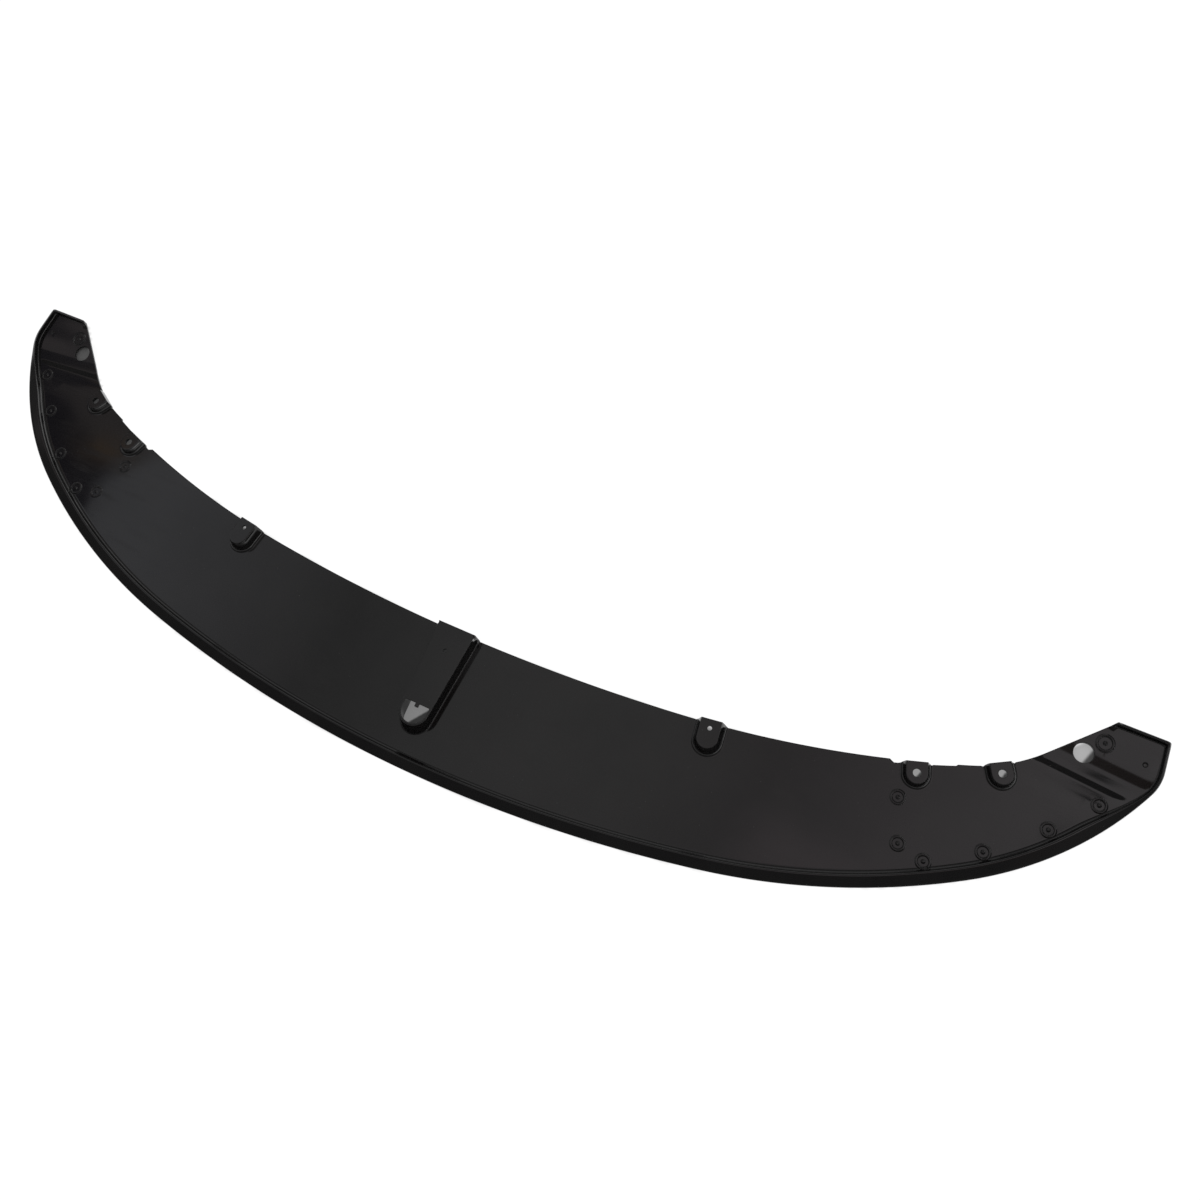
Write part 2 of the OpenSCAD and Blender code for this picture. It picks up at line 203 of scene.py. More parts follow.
# Lines of the mesh: along the rim as shares of its width, round each edge as shares of its
# radius, and across the bend as distances past it
RIM_LINES = (0.004, 0.014, 0.035, 0.07, 0.12, 0.25, 0.40, 0.55, 0.70, 0.77, 0.82, 0.86, 0.90,
             0.935, 0.965, 1.0, 1.035, 1.08, 1.13, 1.19, 1.25, 1.32)
UNDER_LINES = (0.14, 0.3, 0.5, 0.70, 0.77, 0.82, 0.86, 0.90, 0.935, 0.965, 1.0, 1.035, 1.08,
               1.13, 1.19, 1.25, 1.32)
ROUND_STEPS = (0.03, 0.13, 0.31, 0.6, 1.0, 1.6)
CREASE_LINES = (-20, -17, -14, -11, -8, -6, -5, -4, -3, -2, -1, 0, 1, 2, 3, 4, 5, 6.5, 8)
SWELL_FROM, SWELL_TO, SWELL_LINES = 10, 34, 17
LAST_BEND_LINES = (0.5, 0.55, 0.6, 0.65, 0.75, 0.85)

# The bend's place is measured from lines across it, which start this share before it
BEND_FROM = -0.4
BEND_SHARES = 211

# How far lines of the mesh stay clear of the outline and the holes
FINEST_GAP = 0.01
RIM_GAP = 0.02
POCKET_GAP = 0.1
PAD_GAP = 0.25
RING_GAP = 0.5
BEND_GAP = 1.0
HOLE_GAP = 0.5
HOLE_NEAR = 3.0
UNDER_TIP_GAP = 6.0
CORNER_GAP = 1.2

# The same, as shares of the rim's width
TIP_GAP = 1.05
PAST_RIM = 1.4

# Points taken at a time where each is compared with a whole line
BLOCK = 1000

# Gloss black finish: colours, then each pattern's scale per metre and what it adds
GLOSS_DARK = (0.0042, 0.0040, 0.0042, 1)
GLOSS_LIGHT = (0.0062, 0.0058, 0.0058, 1)
UNDER_COLOUR = (0.016, 0.016, 0.017, 1)
UNDER_SHARE = 0.6
DUST_COLOUR = (0.09, 0.088, 0.085, 1)
DUST_SHARE = 0.55
DUST_CELLS, DUST_LOTS = 160.0, 24.0
HAZE = 9.0
WIPED, WIPED_STRETCH = 30.0, (0.35, 2.4, 1.0)
HAIRS, HAIRS_STRETCH, HAIR_LOTS = 55.0, (0.22, 5.0, 1.0), 7.0
ROUGH = 0.055
ROUGH_HAZE = 0.035
ROUGH_WIPED = 0.05
ROUGH_HAIR = 0.12
ROUGH_DUST = 0.4
ROUGH_UNDER = 0.36
WAVES, WAVES_H = 14.0, 0.00011
PEEL, PEEL_H = 420.0, 0.0000011
GRAIN, GRAIN_H = 1500.0, 0.000045
HAIR_DEPTH = 0.0000012

# Floor: its colour, its glow in the open, and its shade under the lip from left to right
FLOOR_COLOUR = 0.15
FLOOR_DEEP = 0.03
FLOOR_GLOW = 0.92
SHADE_LEFT = 0.02
SHADE_RIGHT = 0.30
SHADE_FROM = -0.8
SHADE_TO = 0.65
DEEP_SHADE = 0.85
FLOOR_SIZE = 14.0
COVER_MARGIN = 40.0
COVER_STEP = 8.0
COVER_SOFT = 7.0
FINE_REACH = 24
FINE_COVER_STEP = 2

# Deep shade: a box under the bracket, a slanting edge under its window, one side of each hole
BRACKET_SHADE_X = 30.0
BRACKET_SHADE_Y = (-112.0, -18.0)
WINDOW_SHADE_END = -152.0
WINDOW_SHADE = np.array([[10.5, -116.0], [-11.0, -146.0]])
WINDOW_SHADE_SOFT = 2.5
HOLE_SHADE_WAY = np.array([0.943, -0.332])
SEEN_PAST = np.array([1.1, 2.8])
LEFT_HOLE_SHADE = 0.55
LEFT_HOLE_REACH = 24.0


def grey(value):
    return (value, value, value, 1)


# The room above the lip, as brightness by u = x/z and v = y/z of the direction looked in.
# The flat plate shows the camera u from -1.04 to 0.27 and v from 0.03 to 0.34.
CEILING = ((-1.10, (0.66, 0.67, 0.72)), (-0.76, (0.68, 0.69, 0.73)), (-0.63, (0.54, 0.54, 0.56)),
           (-0.50, (0.37, 0.37, 0.37)), (-0.36, (0.54, 0.54, 0.54)), (-0.17, (0.58, 0.57, 0.57)),
           (-0.04, (0.46, 0.43, 0.44)), (0.07, (0.66, 0.61, 0.63)), (0.20, (0.84, 0.79, 0.81)),
           (0.30, (0.90, 0.86, 0.88)))
LOWEST_Z = 0.03
DIFFUSE_LIGHT = 0.95
BACKDROP = 1.0
MOTTLE = 5.0
SLANT_WAVES, SLANT_WAVES_H = 11.0, 0.05

# Border of the dark zone at the left, u = LEFT_SLOPE * v + LEFT_U, upright below v = LEFT_V
LEFT_V = 0.181
LEFT_SLOPE = 0.85
LEFT_U = -1.005
LEFT_SOFT = 0.004
SLANT_SLOPE = 1.89
RIGHT_SLOPE = 0.6

# Patches of the room, each laid over the ones before: colour, how much of it shows, and limits.
# A limit names its measure, then where the patch starts and where it is full. Besides u, v and
# z, the measures are edge (u past the left zone's border), slant (a wavy slanting line in that
# zone), mottle and right (towards the right and rear). The left zone has its own patches: pale
# beyond the slant, brown, and pale at the front.
CEILING_PATCHES = [(grey(0.32), 0.22, [("mottle", 0.45, 0.75)])]
LEFT_COLOUR = (0.075, 0.070, 0.090, 1)
LEFT_PATCHES = [
    ((0.29, 0.26, 0.26, 1), 1.0, [("slant", -0.488, -0.462)]),
    ((0.44, 0.31, 0.20, 1), 1.0, [("edge", -0.082, -0.058), ("edge", -0.012, -0.036),
                                  ("v", 0.182, 0.206), ("v", 0.236, 0.212)]),
    ((0.36, 0.32, 0.33, 1), 1.0, [("v", 0.135, 0.115), ("u", -0.880, -0.900)]),
]

# A dark band and a dark streak for the right bend, a pale strip, then the dark outside what the
# plate mirrors to the camera, the low light, and the brighter low light towards the right
ROOM_PATCHES = [
    ((0.14, 0.11, 0.10, 1), 1.0, [("u", 0.13, 0.16), ("v", 0.108, 0.093)]),
    ((0.01, 0.02, 0.02, 1), 1.0, [("u", 0.201, 0.209), ("u", 0.231, 0.223),
                                  ("v", 0.172, 0.184), ("v", 0.234, 0.222)]),
    ((0.84, 0.73, 0.77, 1), 0.6, [("u", -0.07, -0.01), ("u", 0.14, 0.08), ("v", 0.145, 0.115)]),
    (grey(0.07), 1.0, [("v", 0.305, 0.345)]),
    (grey(0.30), 1.0, [("v", 0.50, 0.60)]),
    (grey(0.09), 1.0, [("v", 0.01, -0.06)]),
    (grey(0.14), 1.0, [("u", 0.34, 0.50)]),
    (grey(0.12), 1.0, [("u", -1.25, -1.6)]),
    (grey(0.85), 1.0, [("z", 0.42, 0.10)]),
    (grey(3.2), 1.0, [("z", 0.06, 0.14), ("z", 0.28, 0.20), ("right", 0.1, 0.8)]),
]

CAMERA_AT = (0.5006, -0.2412, 1.3060)
CAMERA_AIM = (0.1525, 0.1046, 0.0035)
CAMERA_ROLL = math.radians(-21.04)
CAMERA_LENS = 31.5
CAMERA_SENSOR = 36.0


def curve_through(points, at):
    """Smooth curve with no overshoot through points, evaluated at an array of places."""
    x, y = np.array(points, float).T
    h, slope = np.diff(x), np.diff(y) / np.diff(x)
    tangent = np.zeros(len(x))
    same = slope[:-1] * slope[1:] > 0
    weight = 3 * (h[:-1] + h[1:])
    left, right = h[:-1] + 2 * h[1:], 2 * h[:-1] + h[1:]
    safe = np.where(same, slope[:-1], 1), np.where(same, slope[1:], 1)
    tangent[1:-1] = np.where(same, weight / (left / safe[1] + right / safe[0]), 0)
    tangent[0], tangent[-1] = slope[0], 0
    at = np.clip(at, x[0], x[-1])
    i = np.clip(np.searchsorted(x, at, side="right") - 1, 0, len(h) - 1)
    t = (at - x[i]) / h[i]
    return (y[i] * (1 + 2 * t) * (1 - t) ** 2 + tangent[i] * h[i] * t * (1 - t) ** 2
            + y[i + 1] * t * t * (3 - 2 * t) + tangent[i + 1] * h[i] * t * t * (t - 1))


def smooth(t):
    """0 below 0, 1 above 1 and smooth between."""
    t = np.clip(t, 0, 1)
    return t * t * (3 - 2 * t)


def on_circle(c, r, a):
    """Point of a circle at an angle a from straight forwards."""
    return np.array([c[0] + r * math.sin(a), c[1] - r * math.cos(a)])


class Edge:
    """Half an edge of the outline: smooth arcs from the middle outwards, then a straight."""

    def __init__(self, apex_y, turns, corner_r, corner_p, more, straight_p, tip_x):
        a1, a2, a3 = (math.radians(a) for a in turns)
        x = corner_p[0] - corner_r * (math.sin(a3) - math.sin(a2))
        y = corner_p[1] - apex_y - corner_r * (math.cos(a2) - math.cos(a3))
        m = math.sin(a1), 1 - math.cos(a1)
        n = math.sin(a2) - math.sin(a1), math.cos(a1) - math.cos(a2)
        det = m[0] * n[1] - m[1] * n[0]
        middle, shoulder = (x * n[1] - y * n[0]) / det, (y * m[0] - x * m[1]) / det
        c0 = np.array([0.0, apex_y + middle])
        c1 = c0 + (middle - shoulder) * np.array([math.sin(a1), -math.cos(a1)])
        c2 = c1 + (shoulder - corner_r) * np.array([math.sin(a2), -math.cos(a2)])
        self.arcs = [(c0, middle, 0.0, a1), (c1, shoulder, a1, a2), (c2, corner_r, a2, a3)] + more
        self.start = np.array(straight_p, float)
        run = np.array([tip_x, TIP_Y]) - self.start
        self.angle = math.atan2(run[1], run[0])
        self.along = np.array([math.cos(self.angle), math.sin(self.angle)])
        self.across = np.array([-self.along[1], self.along[0]])
        self.lengths = [r * (end - start) for _, r, start, end in self.arcs] + [float(np.hypot(*run))]
        self.length = sum(self.lengths)

    def at(self, s, aside=0.0):
        """Point at a distance s along the edge, moved aside towards the arcs' centres."""
        for (c, r, start, _), length in zip(self.arcs, self.lengths):
            if s <= length:
                return on_circle(c, r - aside, start + s / r)
            s -= length
        return self.start + s * self.along + aside * self.across

    def turn_at(self, s):
        """Direction of the edge at a distance s along it."""
        for (_, r, start, _), length in zip(self.arcs, self.lengths):
            if s <= length:
                return start + s / r
            s -= length
        return self.angle

    def locate(self, p):
        """Distance along the edge and distance in from it, for an array of points."""
        best_s, best_d = np.zeros(len(p)), np.full(len(p), 1e9)
        before = 0.0
        for (c, r, start, end), length in zip(self.arcs, self.lengths):
            v = p - c
            a = np.arctan2(v[:, 0], -v[:, 1])
            d = r - np.hypot(v[:, 0], v[:, 1])
            use = (a >= start - 1e-9) & (a <= end + 1e-9) & (abs(d) < abs(best_d))
            best_s[use], best_d[use] = before + (a[use] - start) * r, d[use]
            before += length
        v = p - self.start
        s, d = v @ self.along, v @ self.across
        use = (s >= 0) & (abs(d) < abs(best_d))
        best_s[use], best_d[use] = before + s[use], d[use]
        return best_s, best_d


CORNER_END = math.radians(FRONT_TURNS[2])
NOSE_C = np.array([SPAN / 2 - NOSE_R, TIP_Y - NOSE_AT])
FRONT = Edge(TIP_Y - REACH, FRONT_TURNS, FRONT_CORNER_R, on_circle(NOSE_C, NOSE_R, CORNER_END),
             [(NOSE_C, NOSE_R, CORNER_END, NOSE_END)], on_circle(NOSE_C, NOSE_R, NOSE_END), TIP_OUT)
REAR_END = math.radians(REAR_TURNS[2])
REAR_P = (TIP_IN - TIP_STRAIGHT * math.cos(REAR_END), TIP_Y - TIP_STRAIGHT * math.sin(REAR_END))
REAR = Edge(TIP_Y - REAR_DEPTH, REAR_TURNS, REAR_CORNER_R, REAR_P, [], REAR_P, TIP_IN)


def bend_ends(t):
    """Ends of the line across the turned-up end: t is 0 where it starts and 1 at the tip."""
    return FRONT.at(FRONT.length - BEND_FRONT * (1 - t)), REAR.at(REAR.length - BEND_REAR * (1 - t))


BEND_RUN = TIP_Y - sum(bend_ends(0))[1] / 2


def relief_depth(from_tip):
    """Depth of the rear edge's relief at a distance from the tip."""
    return RELIEF_END + (RELIEF - RELIEF_END) * (from_tip - RELIEF_AT + RELIEF_L / 2) / RELIEF_L


class Pad:
    """A hollow pad on the rear edge, in its own frame: y points back across the edge."""

    def __init__(self, s, aside, rear_w, front_w, length, rise, draft, fillet, slope, hole_d, hole_back):
        self.origin, self.turn = REAR.at(s, aside), REAR.turn_at(s)
        self.rear_w, self.front_w, self.length, self.rise = rear_w, front_w, length, rise
        self.draft, self.fillet, self.slope = draft, fillet, slope
        self.hole_r, self.hole_back = hole_d / 2, hole_back
        self.front_y = front_w / 2 - length
        cos, sin = math.cos(self.turn), math.sin(self.turn)
        self.to_row = np.array([[cos, sin], [-sin, cos]])

    def inside(self, p):
        """Points in the pad's own frame."""
        return (p - self.origin) @ self.to_row.T

    def row(self, q):
        """Points of the pad's own frame in the row frame."""
        return np.array(q, float) @ self.to_row + self.origin

    def hole(self):
        return self.row((0.0, -self.hole_back))

    def grown(self, p, forward=0.0):
        """How far the top outline, its front moved on by forward, would grow to reach each point."""
        x, y = self.inside(p).T
        centre = self.front_y - forward
        flare = (self.rear_w - self.front_w) / 2 * np.clip((y - centre) / (PAD_PROUD - centre), 0, None)
        side = abs(x) - self.front_w / 2 - flare
        round_front = np.hypot(x, y - centre) - self.front_w / 2
        return np.where(y > centre, side, round_front)

    def contour(self, g, back=PAD_PROUD, forward=0.0):
        """The outline grown by g, open at the back."""
        r, rear, centre = self.front_w / 2 + g, self.rear_w / 2 + g, self.front_y - forward
        n = max(LEAST_ARC, round(math.pi * r / FINE_STEP))
        turns = np.linspace(math.pi, 2 * math.pi, n + 1)
        arc = [(r * math.cos(a), centre + r * math.sin(a)) for a in turns]
        n = max(2, round((back - centre) / EDGE_STEP))
        side = [(r + (rear - r) * t, centre + (back - centre) * t) for t in np.linspace(0, 1, n + 1)]
        return self.row([(-x, y) for x, y in side[:0:-1]] + arc + side[1:])

    def back_line(self):
        """Where the outline leaves the rear edge and runs along the back of the pad."""
        w, foot = self.rear_w / 2, self.draft + self.fillet
        left = [(-w - share * foot, y) for share, y in PAD_SIDE]
        left += [(-w + x, PAD_PROUD) for x in PAD_BACK_NEAR]
        inner = w - PAD_BACK_INSET
        across = [(x, PAD_PROUD) for x in np.linspace(-inner, inner, PAD_BACK_POINTS)]
        return self.row(left + across + [(-x, y) for x, y in reversed(left)])

    def wall(self, z, top):
        """Growth of a wall at a height z below its top."""
        return self.draft * (1 - z / top)

    def leaning(self, levels, top):
        """Levels as growth, how far the sloping front has moved on, and height."""
        return [(g, self.slope * (1 - z / top), z) for g, z in levels]

    def wall_levels(self):
        """Profile of the wall from the foot up."""
        top, r = self.rise, self.fillet
        fillet = []
        for a in QUARTER:
            z = r * (1 - math.cos(a))
            fillet.append((self.wall(z, top) + r * (1 - math.sin(a)), z))
        walls = [(self.wall(z, top), z) for z in (r + PAD_NEAR, top / 2, top - EDGE_R - PAD_NEAR)]
        edge = [(-EDGE_R * (1 - math.cos(a)), top - EDGE_R * (1 - math.sin(a))) for a in QUARTER]
        foot, inside = (fillet[0][0] + PAD_FOOT_RING, 0.0), (-EDGE_R - PAD_TOP_RING, top)
        return self.leaning([foot] + fillet + walls + edge + [inside], top)

    def pocket_levels(self):
        """Profile of the hollow from its mouth to its roof."""
        roof, r = PLATE_T + self.rise - PAD_WALL, POCKET_R
        mouth, top = self.wall(0, roof) - PAD_WALL, self.wall(roof, roof) - PAD_WALL
        levels = [(mouth + g, z) for g, z in POCKET_MOUTH]
        for z in (0.5, 1.0, roof / 2, roof - r - 0.5, roof - r):
            levels.append((self.wall(z, roof) - PAD_WALL, z))
        levels += [(top - r * g, roof - r * z) for g, z in POCKET_ROUND]
        return self.leaning(levels, roof)

    def pocket_back(self, g):
        """Where the hollow's back wall stands at the level with growth g."""
        return PAD_PROUD - PAD_WALL + (g - self.draft + PAD_WALL) * BACK_DRAFT

    def height(self, p, levels, pocket=False):
        """Height at each point of a form given by levels, listed from the outside inwards."""
        out = np.full(len(p), levels[0][2], float)
        away = np.hypot(*(p - self.row((0, -self.length / 2))).T)
        near = np.nonzero(away < self.length / 2 + self.rear_w)[0]
        if not len(near):
            return out
        q = p[near]
        beyond = []
        for g, forward, _ in levels:
            d = self.grown(q, forward) - g
            if pocket:
                d = np.maximum(d, self.inside(q)[:, 1] - self.pocket_back(g))
            beyond.append(d)
        d = np.array(beyond)
        z = np.array([level[2] for level in levels])
        last = np.clip((d <= 0).cumprod(0).sum(0) - 1, -1, len(z) - 2)
        i = np.clip(last, 0, None)
        rows = np.arange(len(q))
        here, there = d[i, rows], d[i + 1, rows]
        share = np.clip(-here / np.where(there > here, there - here, 1), 0, 1)
        out[near] = np.where(last < 0, z[0], z[i] + (z[i + 1] - z[i]) * share)
        out[near] = np.where(d[-1] <= 0, z[-1], out[near])
        return out


TALL = (TALL_W, TALL_W, TALL_L, TALL_H, TALL_DRAFT, PAD_FILLET, 0.0, TALL_HOLE_D, TALL_HOLE_BACK)
LOW = (LOW_W, LOW_W, LOW_L, LOW_H, LOW_DRAFT, PAD_FILLET, 0.0, LOW_HOLE_D, LOW_HOLE_BACK)
BRACKET = Pad(0.0, 0.0, BRACKET_REAR_W, BRACKET_FRONT_W, BRACKET_L, BRACKET_H, BRACKET_DRAFT,
              BRACKET_FILLET, BRACKET_SLOPE, BRACKET_HOLE_D, BRACKET_HOLE_BACK)
PADS = [Pad(TALL_AT, 0.0, *TALL), Pad(REAR.length - INNER_LOW_AT, -relief_depth(INNER_LOW_AT), *LOW),
        Pad(REAR.length - OUTER_LOW_AT, 0.0, *LOW), BRACKET]


def bend_place(p):
    """How far each point is past the line where the turned-up end starts."""
    share = np.linspace(BEND_FROM, 1, BEND_SHARES)
    front, rear = np.array([bend_ends(t) for t in share]).transpose(1, 0, 2)
    across = rear - front
    out = np.full(len(p), share[0] * BEND_RUN)
    near = np.nonzero(p[:, 1] > min(front[0, 1], rear[0, 1]) - EDGE_STEP)[0]
    v = p[near, None, :] - front[None]
    side = across[None, :, 0] * v[:, :, 1] - across[None, :, 1] * v[:, :, 0]
    passed = np.clip((side < 0).sum(1) - 1, -1, len(share) - 2)
    i = np.clip(passed, 0, None)
    rows = np.arange(len(near))
    a, b = side[rows, i], side[rows, i + 1]
    between = share[i] + (share[1] - share[0]) * np.clip(-a / (b - a), 0, 1)
    out[near] = np.where(passed < 0, share[0], between) * BEND_RUN
    return out


def lift(p):
    """How far the turned-up end has risen at each point."""
    d = np.clip(bend_place(p), 0, None)
    return BEND_SLOPE * np.where(d < BEND_L, d * d / (2 * BEND_L), d - BEND_L / 2)


def bend_waves(p):
    """Low waves that the moulding has where the end turns up."""
    d = bend_place(p)
    past = d - CREASE_AT
    crease = smooth((past + CREASE_RISE) / CREASE_RISE) * smooth((CREASE_FALL - past) / CREASE_FALL)
    swell = smooth((d - SWELL_RISE_AT) / SWELL_RISE) - smooth((d - SWELL_FALL_AT) / SWELL_FALL)
    return CREASE_H * crease + SWELL_H * swell


def rim_place(p):
    """Share of the full rim, its width, each point's share of that width, and distance in."""
    s, d = FRONT.locate(p)
    full = smooth((FRONT.length - s - RIM_TAPER_END) / RIM_TAPER_L)
    w = TIP_RIM_W + (RIM_W - TIP_RIM_W) * full
    end = TIP_Y - p[:, 1]
    r = OUTER_CORNER_R
    round_d = r - np.hypot(np.clip(r - d, 0, None), np.clip(r - end, 0, None))
    corner = (d < r) & (end < r)
    share = np.where(corner, round_d / TIP_RIM_W, np.minimum(d / w, end / TIP_RIM_W))
    return full, w, np.clip(share, 0, None), np.clip(d, 0, None)


def rounding(d, r):
    """Depth of a rounded edge of radius r at a distance d from it."""
    return np.where(d < r, r - np.sqrt(np.clip(r * r - (r - np.clip(d, 0, r)) ** 2, 0, None)), 0.0)


def ring_levels(d):
    """Profile of a ring boss as radius and height: the ring, then the pip in its middle."""
    out, inn, pip = d / 2, d / 2 - RING_W, PIP_D / 2
    ring = [(out + RING_FOOT, 0.0)] + [(out + x, RING_H * z) for x, z in RING_SHAPE]
    ring += [(inn - x, RING_H * z) for x, z in reversed(RING_SHAPE)] + [(inn - RING_FOOT, 0.0)]
    return ring + [(pip + x, PIP_H * z) for x, z in PIP_SHAPE]


def table(levels, at):
    """Height at each place from a profile that is listed from the outside inwards."""
    x, z = np.array(levels[::-1]).T
    return np.interp(at, x, z)


def both(points):
    """Points of the right half and their mirror images."""
    return [points, points * [-1, 1]]


def circle(c, r):
    """A closed anticlockwise ring of points, a multiple of four of them."""
    n = max(LEAST_CIRCLE, int(2 * math.pi * r / FINE_STEP / 4 + 0.5) * 4)
    a = np.linspace(0, 2 * math.pi, n, endpoint=False)
    return np.column_stack([c[0] + r * np.cos(a), c[1] + r * np.sin(a)])


def circles(c, r):
    """A circle and its mirror image, or one circle where it is in the middle."""
    return both(circle(c, r)) if c[0] > FINE_STEP else [circle(c, r)]


RING_PLACES = [(FRONT.at(FRONT.length - s, aside), RING_D) for s, aside in RINGS]
RING_PLACES.append((REAR.at(REAR.length - TIP_RING_AT, -TIP_RING_BACK), TIP_RING_D))
DIMPLE = FRONT.at(FRONT.length - DIMPLE_AT, DIMPLE_BACK)
DIMPLE_LEVELS = [(DIMPLE_D / 2 + x, DIMPLE_DEPTH * z) for x, z in DIMPLE_SHAPE]
LOCATING = REAR.at(REAR.length - LOCATING_AT, -LOCATING_BACK)
HOLES = [(pad.hole(), pad.hole_r) for pad in PADS] + [(LOCATING, LOCATING_D / 2)]


def arc_corner(before, corner, after, r, n=ROUND_POINTS):
    """A corner of an outline rounded to radius r."""
    u, v = before - corner, after - corner
    u, v = u / np.hypot(*u), v / np.hypot(*v)
    half = math.acos(float(np.clip(u @ v, -1, 1))) / 2
    reach = r / math.tan(half)
    centre = corner + (u + v) / np.hypot(*(u + v)) * r / math.sin(half)
    a0 = math.atan2(*(corner + u * reach - centre)[::-1])
    a1 = math.atan2(*(corner + v * reach - centre)[::-1])
    turn = (a1 - a0 + math.pi) % (2 * math.pi) - math.pi
    turns = [a0 + turn * i / n for i in range(n + 1)]
    return [centre + r * np.array([math.cos(a), math.sin(a)]) for a in turns]


def rear_line():
    """The rear edge of the right half from the tip to the middle, with relief, pads and bracket."""
    low, high = REAR.length - RELIEF_AT - RELIEF_L / 2, REAR.length - RELIEF_AT + RELIEF_L / 2
    backs = []
    for pad in PADS:
        line = pad.back_line()
        start, end = REAR.locate(line[[0, -1]])[0]
        if pad is BRACKET:
            line, start = line[line[:, 0] >= -1e-9], -1.0
        backs.append((start, end, line))
    points = []
    s = REAR.length - 1.5 * INNER_CORNER_R
    while s > 0:
        here = [back for back in backs if back[0] - EDGE_STEP / 4 < s < back[1] + EDGE_STEP / 4]
        if here:
            start, _, line = here[0]
            points += list(line[::-1])
            s = start - EDGE_STEP / 2
            continue
        ends = float(smooth((s - low) / RELIEF_RAMP) * smooth((high - s) / RELIEF_RAMP))
        points.append(REAR.at(s, -relief_depth(REAR.length - s) * ends))
        ramp_gap = min(abs(s - low - RELIEF_RAMP / 2), abs(s - high + RELIEF_RAMP / 2))
        step = RELIEF_STEP if ramp_gap < RELIEF_RAMP else EDGE_STEP
        next_pad = max((end for _, end, _ in backs if end < s), default=-math.inf)
        s = next_pad if s - step < next_pad < s - EDGE_STEP / 2 else s - step
    return np.array(points)


def front_line(share):
    """The front edge of the right half moved in by a share of the rim's width, up to the tip."""
    n = round(FRONT.length / EDGE_STEP)
    end = FRONT.length - (OUTER_CORNER_R + CORNER_GAP if share == 0 else share * TIP_RIM_W * TIP_GAP)
    s = np.append(np.arange(0, n) * end / n, end)
    full = smooth((FRONT.length - s - RIM_TAPER_END) / RIM_TAPER_L)
    w = TIP_RIM_W + (RIM_W - TIP_RIM_W) * full
    return np.array([FRONT.at(a, share * b) for a, b in zip(s, w)])


def outline():
    """Closed outline of the whole lip, anticlockwise, and the stretch that is the rear edge."""
    front = list(front_line(0))
    rear = rear_line()
    tip_out, tip_in = np.array([TIP_OUT, TIP_Y]), np.array([TIP_IN, TIP_Y])
    corner = arc_corner(front[-1], tip_out, tip_in, OUTER_CORNER_R)
    inner = arc_corner(tip_out, tip_in, rear[0], INNER_CORNER_R)
    across = [tip_out + (tip_in - tip_out) * t for t in np.linspace(0, 1, TIP_POINTS)[1:-1]]
    right = np.array(front + corner + across + inner + list(rear))
    right[0, 0] = 0.0
    rear_from = len(front) + len(corner) + len(across) + 2
    left = right[:0:-1] * [-1, 1]
    rear_loop = np.vstack([right[rear_from:], left[:len(left) - rear_from + 1]])
    return np.vstack([right, left]), rear_loop


def window():
    """Closed outline of the bracket's opening, anticlockwise, with the catch standing into it."""
    r = BRACKET_FRONT_W / 2 - WINDOW_LIP
    back = -(BRACKET_L - WINDOW_LIP - WINDOW_L)
    y = BRACKET.front_y
    arc = [(r * math.cos(a), y + r * math.sin(a)) for a in np.linspace(math.pi, 2 * math.pi, WINDOW_POINTS)]
    right = [(r, y + (back - y) * t) for t in (0.25, 0.5, 0.75)]
    turn = np.array([r, y]), np.array([r, back]), np.array([0.0, back])
    corner = [tuple(q) for q in arc_corner(*turn, WINDOW_CORNER_R, 4)]
    half, tip = CATCH_W / 2, back - CATCH_L
    catch = [(r * 0.6, back), (half + WINDOW_CORNER_R, back), (half + CATCH_ROOT_R, back),
             (half, back - CATCH_ROOT_R), (half, (back + tip) / 2), (half, tip + CATCH_TIP_R),
             (half - CATCH_TIP_R, tip)]
    side = right + corner + catch
    left = [(-x, y) for x, y in reversed(side)]
    return BRACKET.row(arc + side + [(0.0, tip)] + left)


OUTLINE, REAR_LOOP = outline()
WINDOW = window()
THROUGH = [WINDOW] + [loop for c, r in HOLES for loop in circles(c, r)]


def distance_to(loop, p, closed=True):
    """Distance from each point to a line of points."""
    a, b = loop, np.roll(loop, -1, axis=0)
    if not closed:
        a, b = a[:-1], b[:-1]
    ab = b - a
    length = (ab ** 2).sum(1)
    out = np.empty(len(p))
    for i in range(0, len(p), BLOCK):
        v = p[i:i + BLOCK, None] - a[None]
        t = np.clip((v * ab[None]).sum(2) / length, 0, 1)
        gap = v - t[:, :, None] * ab[None]
        out[i:i + BLOCK] = np.sqrt((gap ** 2).sum(2).min(1))
    return out


def within(loop, p):
    """Whether each point is inside a closed loop."""
    ax, ay = loop.T[:, None]
    bx, by = np.roll(loop, -1, axis=0).T[:, None]
    out = np.zeros(len(p), bool)
    for i in range(0, len(p), BLOCK):
        x, y = p[i:i + BLOCK, 0, None], p[i:i + BLOCK, 1, None]
        spans = (ay > y) != (by > y)
        with np.errstate(divide="ignore", invalid="ignore"):
            cut = ax + (y - ay) / (by - ay) * (bx - ax)
        out[i:i + BLOCK] = (spans & (x < cut)).sum(1) % 2 == 1
    return out


def inset(line, d):
    """An open line moved aside to its left by d at each point."""
    u = np.vstack([line[1:], line[-1:]]) - np.vstack([line[:1], line[:-1]])
    u /= np.hypot(u[:, 0], u[:, 1])[:, None]
    return line + d * np.column_stack([-u[:, 1], u[:, 0]])


def grow(loop, d):
    """A closed anticlockwise loop moved outwards by d at each point."""
    u = np.roll(loop, -1, axis=0) - np.roll(loop, 1, axis=0)
    u /= np.hypot(u[:, 0], u[:, 1])[:, None]
    return loop + d * np.column_stack([u[:, 1], -u[:, 0]])


def right_half(p):
    """Points moved to their places in the right half."""
    return np.column_stack([abs(p[:, 0]), p[:, 1]])


